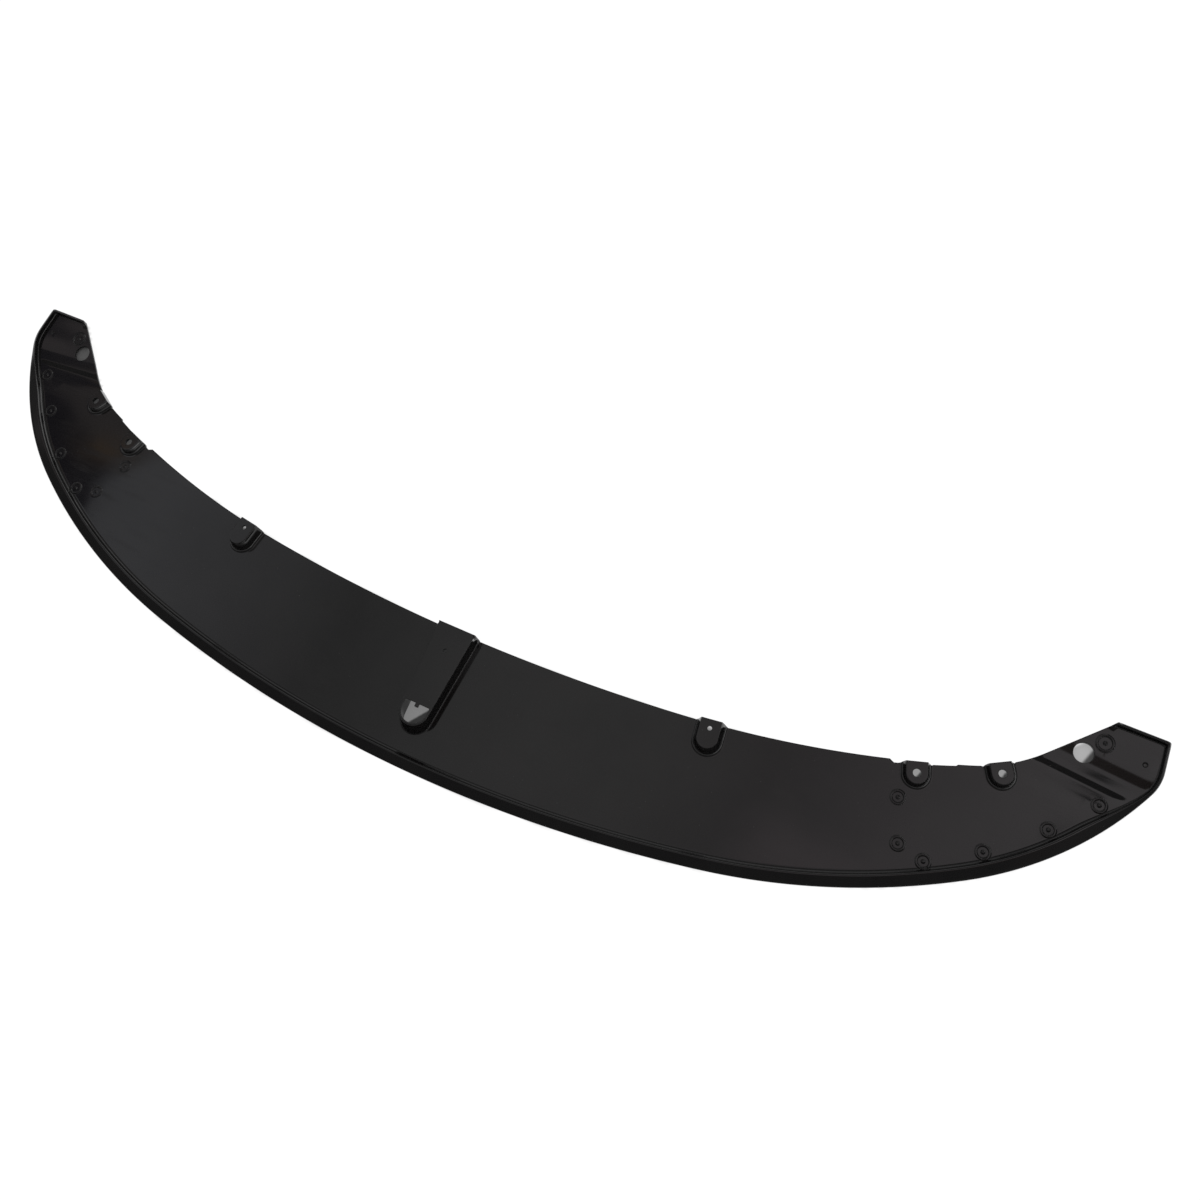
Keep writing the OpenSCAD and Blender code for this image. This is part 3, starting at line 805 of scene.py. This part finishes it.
def above(p):
    """Height of the upper side at each point."""
    q = right_half(p)
    _, _, share, _ = rim_place(q)
    z = PLATE_T + lift(q) + RIM_RISE * curve_through(RIM, share)
    z = z + bend_waves(q) * smooth((share - 1) / WAVES_FADE)
    for pad in PADS:
        z = z + pad.height(q, pad.wall_levels())
    for c, d in RING_PLACES:
        z = z + table(ring_levels(d), np.hypot(*(q - c).T))
    z = z - table(DIMPLE_LEVELS, np.hypot(*(q - DIMPLE).T))
    z = z - rounding(distance_to(REAR_LOOP, p, closed=False), EDGE_R)
    for c, r in HOLES:
        z = z - rounding(abs(np.hypot(*(q - c).T) - r), HOLE_R)
    return z - rounding(distance_to(WINDOW, p), HOLE_R)


def below(p):
    """Height of the lower side at each point."""
    q = right_half(p)
    full, w, _, d = rim_place(q)
    z = full * RIM_RISE * curve_through(RIM_UNDER, d / (w * RIM_INNER)) + rounding(d, RIM_EDGE_R)
    for pad in PADS:
        z = z + pad.height(q, pad.pocket_levels(), pocket=True)
    z = z + rounding(distance_to(REAR_LOOP, p, closed=False), UNDER_R)
    z = z + rounding(TIP_Y - p[:, 1], UNDER_R)
    return z + lift(q)


def kept(line, margin, closed):
    """The runs of a line that lie inside the outline, and clear of the holes, by a margin."""
    ok = within(OUTLINE, line) & (distance_to(OUTLINE, line) > margin)
    for loop in THROUGH:
        low, high = loop.min(0) - HOLE_NEAR, loop.max(0) + HOLE_NEAR
        near = ((line > low) & (line < high)).all(1)
        if near.any():
            clear = distance_to(loop, line[near]) > max(margin, HOLE_GAP)
            ok[near] &= ~within(loop, line[near]) & clear
    if ok.all():
        return [(line, closed)]
    if closed:
        first = int(np.nonzero(~ok)[0][0])
        line, ok = np.roll(line, -first, axis=0), np.roll(ok, -first)
    runs, run = [], []
    for point, good in zip(line, ok):
        if good:
            run.append(point)
        elif run:
            runs.append(run)
            run = []
    runs.append(run)
    return [(np.array(run), False) for run in runs if len(run) > 1]


def mirrored(half):
    """A line over the right half, from the middle outwards, joined to its mirror image."""
    return np.vstack([half[:0:-1] * [-1, 1], half])


def pad_lines(pad, line, gap, closed):
    """A pad's line on both halves of the lip, or once for the bracket."""
    lines = []
    for copy in [line] if pad is BRACKET else both(line):
        lines += kept(copy, gap, closed)
    return lines


def upper_lines():
    """Lines that the upper side's mesh follows."""
    lines = []
    for share in RIM_LINES:
        half = front_line(share)
        y = TIP_Y - share * TIP_RIM_W
        end = TIP_IN + (y - TIP_Y) / math.tan(REAR_END)
        across = [(x, y) for x in np.linspace(half[-1, 0], end, TIP_POINTS + 2)[1:-1]]
        lines += kept(mirrored(np.vstack([half, across])), RIM_GAP, False)
    for d in ROUND_STEPS:
        lines += kept(inset(REAR_LOOP, EDGE_R * d), FINEST_GAP, False)
    for pad in PADS:
        for g, forward, _ in pad.wall_levels():
            lines += pad_lines(pad, pad.contour(g, forward=forward), PAD_GAP, False)
    for c, d in RING_PLACES:
        for r, _ in ring_levels(d):
            for line in both(circle(c, r)):
                lines += kept(line, RING_GAP, True)
    rounds = [(DIMPLE, r) for r, _ in DIMPLE_LEVELS]
    rounds += [(c, r + HOLE_R * d) for c, r in HOLES for d in ROUND_STEPS]
    lines += [(line, True) for c, r in rounds for line in circles(c, r)]
    return lines + [(grow(WINDOW, HOLE_R * d), True) for d in ROUND_STEPS]


def lower_lines():
    """Lines that the lower side's mesh follows."""
    lines = []
    for share in UNDER_LINES:
        half = front_line(share * RIM_INNER)
        half = half[half[:, 1] < TIP_Y - UNDER_TIP_GAP]
        lines += kept(mirrored(half), RIM_GAP, False)
    for d in ROUND_STEPS:
        lines += kept(inset(mirrored(front_line(0)), RIM_EDGE_R * d), RIM_GAP, False)
        lines += kept(inset(REAR_LOOP, UNDER_R * d), FINEST_GAP, False)
    for pad in PADS:
        for g, forward, _ in pad.pocket_levels():
            lines += pad_lines(pad, pad.contour(g, pad.pocket_back(g), forward), POCKET_GAP, True)
    return lines


def bend_lines():
    """Lines across the turned-up ends, close together over the bend."""
    lines = []
    steps = [d / BEND_RUN for d in CREASE_LINES]
    steps += list(np.linspace(SWELL_FROM / BEND_RUN, SWELL_TO / BEND_RUN, SWELL_LINES))
    for t in steps + list(LAST_BEND_LINES):
        a, b = bend_ends(t)
        line = a + (b - a) * np.linspace(0, 1, BEND_POINTS)[:, None]
        clear = distance_to(REAR_LOOP, line, closed=False) > 2 * BEND_GAP
        line = line[(rim_place(line)[2] > PAST_RIM) & clear]
        for copy in both(line):
            lines += kept(copy, BEND_GAP, False)
    return lines


def scattered(taken):
    """Points on a net over the plate, clear of the points already taken."""
    rows = []
    for j, y in enumerate(np.arange(TIP_Y - REACH, TIP_Y, PLATE_STEP * NET_ROW)):
        x = np.arange(-SPAN / 2, SPAN / 2, PLATE_STEP) + (j % 2) * PLATE_STEP / 2
        rows.append(np.column_stack([x, np.full(len(x), y)]))
    p = np.vstack(rows)
    p = p[within(OUTLINE, p)]
    gap = np.full(len(p), 1e9)
    for i in range(0, len(taken), BLOCK):
        away = p[:, None] - taken[None, i:i + BLOCK]
        gap = np.minimum(gap, np.hypot(away[:, :, 0], away[:, :, 1]).min(1))
    return p[gap > PLATE_STEP * NET_CLEAR]


def side_mesh(lines, height):
    """Mesh of one side: points, triangles seen from above, and the place of each loop's points."""
    loops = [OUTLINE] + THROUGH
    runs = [(loop, True) for loop in loops] + lines + bend_lines()
    starts = list(accumulate([0] + [len(line) for line, _ in runs]))
    edges = []
    for start, (line, closed) in zip(starts, runs):
        end = start + len(line)
        edges += [(i, i + 1) for i in range(start, end - 1)]
        if closed:
            edges.append((end - 1, start))
    points = np.vstack([line for line, _ in runs])
    points = np.vstack([points, scattered(points)])
    out = delaunay_2d_cdt([Vector(q) for q in points], edges, [], 0, 1e-5, True)
    xy = np.array([tuple(v) for v in out[0]])
    tris = np.array(out[2], int)
    place = {origin: i for i, origins in enumerate(out[3]) for origin in origins}
    middle = xy[tris].mean(1)
    ok = within(OUTLINE, middle)
    for loop in THROUGH:
        ok &= ~within(loop, middle)
    tris = tris[ok]
    a, b, c = xy[tris].transpose(1, 0, 2)
    turn = (b[:, 0] - a[:, 0]) * (c[:, 1] - a[:, 1]) - (b[:, 1] - a[:, 1]) * (c[:, 0] - a[:, 0])
    tris[turn < 0] = tris[turn < 0][:, ::-1]
    have = {tuple(sorted((t[i], t[i - 1]))) for t in tris.tolist() for i in range(3)}
    rings = []
    for start, loop in zip(starts, loops):
        ring = [place[start + i] for i in range(len(loop))]
        lost = [i for i in range(len(ring)) if tuple(sorted((ring[i], ring[i - 1]))) not in have]
        if lost:
            raise ValueError(f"boundary edges cut at {[xy[ring[i]].round(2).tolist() for i in lost[:5]]}")
        rings.append(ring)
    return np.column_stack([xy, height(xy)]), tris, rings


def lip_mesh():
    """Points in metres and faces of the whole moulding."""
    top, top_tris, top_rings = side_mesh(upper_lines(), above)
    low, low_tris, low_rings = side_mesh(lower_lines(), below)
    n = len(top)
    faces = top_tris.tolist() + (low_tris[:, ::-1] + n).tolist()
    for k, (upper, lower) in enumerate(zip(top_rings, low_rings)):
        for i in range(len(upper)):
            j = (i + 1) % len(upper)
            quad = (lower[i] + n, lower[j] + n, upper[j], upper[i])
            faces.append(quad if k == 0 else quad[::-1])
    return np.vstack([top, low]) * MM, faces


def make_lip(box):
    points, faces = lip_mesh()
    points[:, 0] *= box[1][0] / points[:, 0].max()
    mesh = bpy.data.meshes.new("lip_moulding")
    mesh.from_pydata(points.tolist(), [], faces)
    mesh.validate()
    mesh.update()
    mesh.shade_smooth()
    obj = bpy.data.objects.new("lip_moulding", mesh)
    bpy.context.scene.collection.objects.link(obj)
    return obj


class Nodes:
    """Short-hand for building a node tree: each call gives the socket that carries its result."""

    def __init__(self, tree):
        self.tree = tree
        tree.nodes.clear()

    def node(self, kind, inputs=None, **settings):
        node = self.tree.nodes.new(kind)
        for name, value in settings.items():
            setattr(node, name, value)
        for name, value in (inputs or {}).items():
            self.put(node.inputs[name], value)
        return node

    def put(self, socket, value):
        if isinstance(value, bpy.types.NodeSocket):
            self.tree.links.new(value, socket)
        else:
            socket.default_value = value

    def calc(self, operation, *values):
        node = self.node("ShaderNodeMath", operation=operation)
        for socket, value in zip(node.inputs, values):
            self.put(socket, value)
        return node.outputs[0]

    def step(self, x, low, high):
        """0 at low, 1 at high and smooth between."""
        ends = {"Value": x, "From Min": low, "From Max": high}
        return self.node("ShaderNodeMapRange", ends, interpolation_type="SMOOTHSTEP").outputs[0]

    def blend(self, share, a, b):
        """Colour b over colour a by a share."""
        node = self.node("ShaderNodeMix", data_type="RGBA")
        for socket, value in zip((node.inputs[0], node.inputs[6], node.inputs[7]), (share, a, b)):
            self.put(socket, value)
        return node.outputs[2]

    def noise(self, at, scale, detail=2.0, rough=0.5, stretch=None):
        if stretch:
            at = self.node("ShaderNodeMapping", {"Vector": at, "Scale": stretch}).outputs[0]
        inputs = {"Vector": at, "Scale": scale, "Detail": detail, "Roughness": rough}
        return self.node("ShaderNodeTexNoise", inputs).outputs[0]

    def lay(self, light, patches, measures):
        """Patches laid over the light one after another."""
        for colour, share, limits in patches:
            for measure, start, full in limits:
                share = self.calc("MULTIPLY", share, self.step(measures[measure], start, full))
            light = self.blend(share, light, colour)
        return light

    def seen(self):
        """1 for rays from the camera, from glossy surfaces and through clear ones."""
        path = self.node("ShaderNodeLightPath").outputs
        glossy = self.calc("MAXIMUM", path["Is Glossy Ray"], path["Is Transmission Ray"])
        return self.calc("MAXIMUM", path["Is Camera Ray"], glossy)

    def out(self, kind, shader):
        self.node(kind, {"Surface": shader})


def gloss_black():
    """High-gloss black moulded plastic: soft waves, orange peel, haze, hairlines and dust."""
    mat = bpy.data.materials.new("gloss_black")
    mat.use_nodes = True
    n = Nodes(mat.node_tree)
    coords = n.node("ShaderNodeTexCoord").outputs
    at = coords["Object"]
    facing = n.node("ShaderNodeSeparateXYZ", {"Vector": coords["Normal"]}).outputs["Z"]
    under = n.step(facing, 0.0, -0.3)

    haze = n.noise(at, HAZE, 4.0, 0.6)
    wiped = n.noise(at, WIPED, 3.0, 0.7, WIPED_STRETCH)
    cells = n.node("ShaderNodeTexVoronoi", {"Vector": at, "Scale": DUST_CELLS}, feature="F1")
    dust = n.calc("MULTIPLY", n.step(cells.outputs["Distance"], 0.075, 0.045),
                  n.step(n.noise(at, DUST_LOTS), 0.52, 0.66))
    hair = n.noise(at, HAIRS, 1.0, 0.4, HAIRS_STRETCH)
    hair = n.step(n.calc("ABSOLUTE", n.calc("SUBTRACT", hair, 0.5)), 0.006, 0.001)
    hair = n.calc("MULTIPLY", hair, n.step(n.noise(at, HAIR_LOTS, 1.0), 0.5, 0.7))

    colour = n.blend(n.step(haze, 0.3, 0.7), GLOSS_DARK, GLOSS_LIGHT)
    colour = n.blend(n.calc("MULTIPLY", dust, DUST_SHARE), colour, DUST_COLOUR)
    colour = n.blend(n.calc("MULTIPLY", under, UNDER_SHARE), colour, UNDER_COLOUR)

    rough = ROUGH
    for share, more in ((n.step(haze, 0.35, 0.75), ROUGH_HAZE), (n.step(wiped, 0.45, 0.75), ROUGH_WIPED),
                        (hair, ROUGH_HAIR), (dust, ROUGH_DUST), (under, ROUGH_UNDER)):
        rough = n.calc("MULTIPLY_ADD", share, more, rough)

    height = n.calc("MULTIPLY", n.noise(at, WAVES, 1.0), WAVES_H)
    height = n.calc("MULTIPLY_ADD", n.noise(at, PEEL, 1.0), PEEL_H, height)
    height = n.calc("MULTIPLY_ADD", n.calc("MULTIPLY", n.noise(at, GRAIN), under), GRAIN_H, height)
    height = n.calc("MULTIPLY_ADD", hair, -HAIR_DEPTH, height)
    bump = n.node("ShaderNodeBump", {"Height": height, "Strength": 1.0, "Distance": 1.0}).outputs[0]

    surface = {"Base Color": colour, "Roughness": rough, "Normal": bump, "IOR": 1.5}
    n.out("ShaderNodeOutputMaterial", n.node("ShaderNodeBsdfPrincipled", surface).outputs[0])
    return mat


def floor_material():
    """White paper that glows evenly where nothing covers it; under the lip its glow fades out to a painted
    shadow, darker towards the left, and its colour darkens where the deep shade is painted.
    """
    mat = bpy.data.materials.new("floor_white")
    mat.use_nodes = True
    n = Nodes(mat.node_tree)
    cover = n.node("ShaderNodeAttribute", attribute_name="cover").outputs["Fac"]
    deep = n.node("ShaderNodeAttribute", attribute_name="deep").outputs["Fac"]
    at = n.node("ShaderNodeTexCoord").outputs["Object"]
    across = n.node("ShaderNodeSeparateXYZ", {"Vector": at}).outputs["X"]
    ends = {"Value": across, "From Min": SHADE_FROM, "From Max": SHADE_TO,
            "To Min": SHADE_LEFT, "To Max": SHADE_RIGHT}
    shade = n.node("ShaderNodeMapRange", ends).outputs[0]
    shade = n.calc("MULTIPLY", shade, n.calc("MULTIPLY_ADD", deep, -DEEP_SHADE, 1.0))
    strength = n.calc("MULTIPLY", n.calc("SUBTRACT", 1.0, cover), FLOOR_GLOW)
    strength = n.calc("MULTIPLY_ADD", cover, shade, strength)
    strength = n.calc("MULTIPLY", strength, n.seen())
    # Painted shade: the floor's own colour darkens where the deep shade lies
    colour = n.blend(deep, grey(FLOOR_COLOUR), grey(FLOOR_DEEP))
    total = n.node("ShaderNodeAddShader")
    n.put(total.inputs[0], n.node("ShaderNodeBsdfDiffuse", {"Color": colour}).outputs[0])
    n.put(total.inputs[1], n.node("ShaderNodeEmission", {"Strength": strength}).outputs[0])
    n.out("ShaderNodeOutputMaterial", total.outputs[0])
    return mat


# Holes whose floor is shaded on one side: centre, where the shade starts, its softness and reach
HOLE_SHADES = [(LOCATING, 4.0, 4.0, 24.0)]
HOLE_SHADES += [(pad.hole() + SEEN_PAST, 1.0, 2.0, 11.0) for pad in PADS[1:3]]


def deep_shade(p):
    """Where the floor gets next to no light: under the bracket and beside or in the holes."""
    x, y = p.T
    low, high = BRACKET_SHADE_Y
    under_bracket = abs(x) < BRACKET_SHADE_X
    out = 1.0 * (under_bracket & (y > low) & (y < high))
    run = WINDOW_SHADE[1] - WINDOW_SHADE[0]
    aside = ((p - WINDOW_SHADE[0]) @ np.array([-run[1], run[0]])) / np.hypot(*run)
    out += smooth(aside / WINDOW_SHADE_SOFT) * under_bracket * (y <= low) * (y > WINDOW_SHADE_END)
    for c, start, soft, reach in HOLE_SHADES:
        out += smooth(((p - c) @ HOLE_SHADE_WAY - start) / soft) * (np.hypot(*(p - c).T) < reach)
    return out + LEFT_HOLE_SHADE * (np.hypot(*(p - LOCATING * [-1, 1]).T) < LEFT_HOLE_REACH)


def net_places(reach, spots, axis):
    """Places of the floor's net along an axis: even, and closer together round the spots."""
    places = [np.arange(-reach - COVER_MARGIN, reach + COVER_MARGIN + 1, COVER_STEP)]
    for spot in spots:
        places.append(np.arange(spot[axis] - FINE_REACH, spot[axis] + FINE_REACH + 1, FINE_COVER_STEP))
    half = FLOOR_SIZE / 2 / MM
    return np.concatenate([[-half], np.unique(np.concatenate(places).round(3)), [half]])


def make_floor():
    """A wide sheet with a fine net under the lip, where each point knows how far it is covered."""
    spots = [(0.0, -130.0), LOCATING, LOCATING * [-1, 1], PADS[1].hole(), PADS[2].hole()]
    xs, ys = net_places(SPAN / 2, spots, 0), net_places(REACH / 2, spots, 1)
    gx, gy = np.meshgrid(xs, ys)
    points = np.column_stack([gx.ravel(), gy.ravel()])
    row = len(xs)
    corners = [j * row + i for j in range(len(ys) - 1) for i in range(row - 1)]
    faces = [(k, k + 1, k + row + 1, k + row) for k in corners]
    depth = np.where(within(OUTLINE, points), distance_to(OUTLINE, points), 0.0)
    mesh = bpy.data.meshes.new("floor")
    mesh.from_pydata([(x * MM, y * MM, 0.0) for x, y in points], [], faces)
    for name, values in (("cover", smooth((depth - 1) / COVER_SOFT)), ("deep", deep_shade(points))):
        attribute = mesh.attributes.new(name, "FLOAT", "POINT")
        attribute.data.foreach_set("value", values.astype(np.float32))
    floor = bpy.data.objects.new("floor", mesh)
    bpy.context.scene.collection.objects.link(floor)
    mesh.materials.append(floor_material())


def make_world():
    """The room: what the gloss mirrors, an even light for the rest and a white backdrop."""
    world = bpy.data.worlds.new("studio")
    bpy.context.scene.world = world
    world.use_nodes = True
    n = Nodes(world.node_tree)
    direction = n.node("ShaderNodeTexCoord").outputs["Generated"]
    x, y, z = n.node("ShaderNodeSeparateXYZ", {"Vector": direction}).outputs
    height = n.calc("MAXIMUM", z, LOWEST_Z)
    u, v = n.calc("DIVIDE", x, height), n.calc("DIVIDE", y, height)
    plan = n.node("ShaderNodeCombineXYZ", {"X": u, "Y": v}).outputs[0]
    border = n.calc("MULTIPLY_ADD", n.calc("MAXIMUM", v, LEFT_V), LEFT_SLOPE, LEFT_U)
    slant = n.calc("MULTIPLY_ADD", v, SLANT_SLOPE, u)
    measures = {
        "u": u,
        "v": v,
        "z": z,
        "edge": n.calc("SUBTRACT", u, border),
        "slant": n.calc("MULTIPLY_ADD", n.noise(plan, SLANT_WAVES), SLANT_WAVES_H, slant),
        "mottle": n.noise(plan, MOTTLE, 3.0),
        "right": n.calc("MULTIPLY_ADD", y, RIGHT_SLOPE, x),
    }

    first, last = CEILING[0][0], CEILING[-1][0]
    ramp = n.node("ShaderNodeValToRGB")
    fac = {"Value": u, "From Min": first, "From Max": last}
    n.put(ramp.inputs[0], n.node("ShaderNodeMapRange", fac).outputs[0])
    stops = ramp.color_ramp.elements
    for place, _ in CEILING[1:-1]:
        stops.new((place - first) / (last - first))
    for stop, (_, colour) in zip(stops, CEILING):
        stop.color = (*colour, 1)

    light = n.lay(ramp.outputs[0], CEILING_PATCHES, measures)
    left = n.lay(LEFT_COLOUR, LEFT_PATCHES, measures)
    light = n.blend(n.step(measures["edge"], LEFT_SOFT, -LEFT_SOFT), light, left)
    light = n.lay(light, ROOM_PATCHES, measures)
    path = n.node("ShaderNodeLightPath").outputs
    light = n.blend(path["Is Diffuse Ray"], light, grey(DIFFUSE_LIGHT))
    light = n.blend(path["Is Camera Ray"], light, grey(BACKDROP))
    n.out("ShaderNodeOutputWorld", n.node("ShaderNodeBackground", {"Color": light}).outputs[0])


def make_camera():
    data = bpy.data.cameras.new("camera")
    data.lens = CAMERA_LENS
    data.sensor_width = CAMERA_SENSOR
    cam = bpy.data.objects.new("camera", data)
    bpy.context.scene.collection.objects.link(cam)
    cam.location = CAMERA_AT
    cam.rotation_mode = "QUATERNION"
    look = (Vector(CAMERA_AIM) - Vector(CAMERA_AT)).to_track_quat("-Z", "Y")
    cam.rotation_quaternion = look @ Quaternion((0, 0, 1), CAMERA_ROLL)
    bpy.context.scene.camera = cam


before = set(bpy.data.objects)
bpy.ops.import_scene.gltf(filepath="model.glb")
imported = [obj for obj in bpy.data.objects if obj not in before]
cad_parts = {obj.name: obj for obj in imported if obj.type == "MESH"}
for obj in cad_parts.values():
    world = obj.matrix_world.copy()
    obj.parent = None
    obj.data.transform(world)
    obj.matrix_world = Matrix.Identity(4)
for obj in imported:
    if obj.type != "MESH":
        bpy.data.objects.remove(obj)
cad_box = [list(c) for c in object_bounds()]
make_camera()
make_floor()
make_world()
lip = make_lip(cad_box)
lip.data.materials.append(gloss_black())
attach(lip, "root")
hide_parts("splitter_lip")
bpy.context.scene.view_settings.view_transform = "Standard"
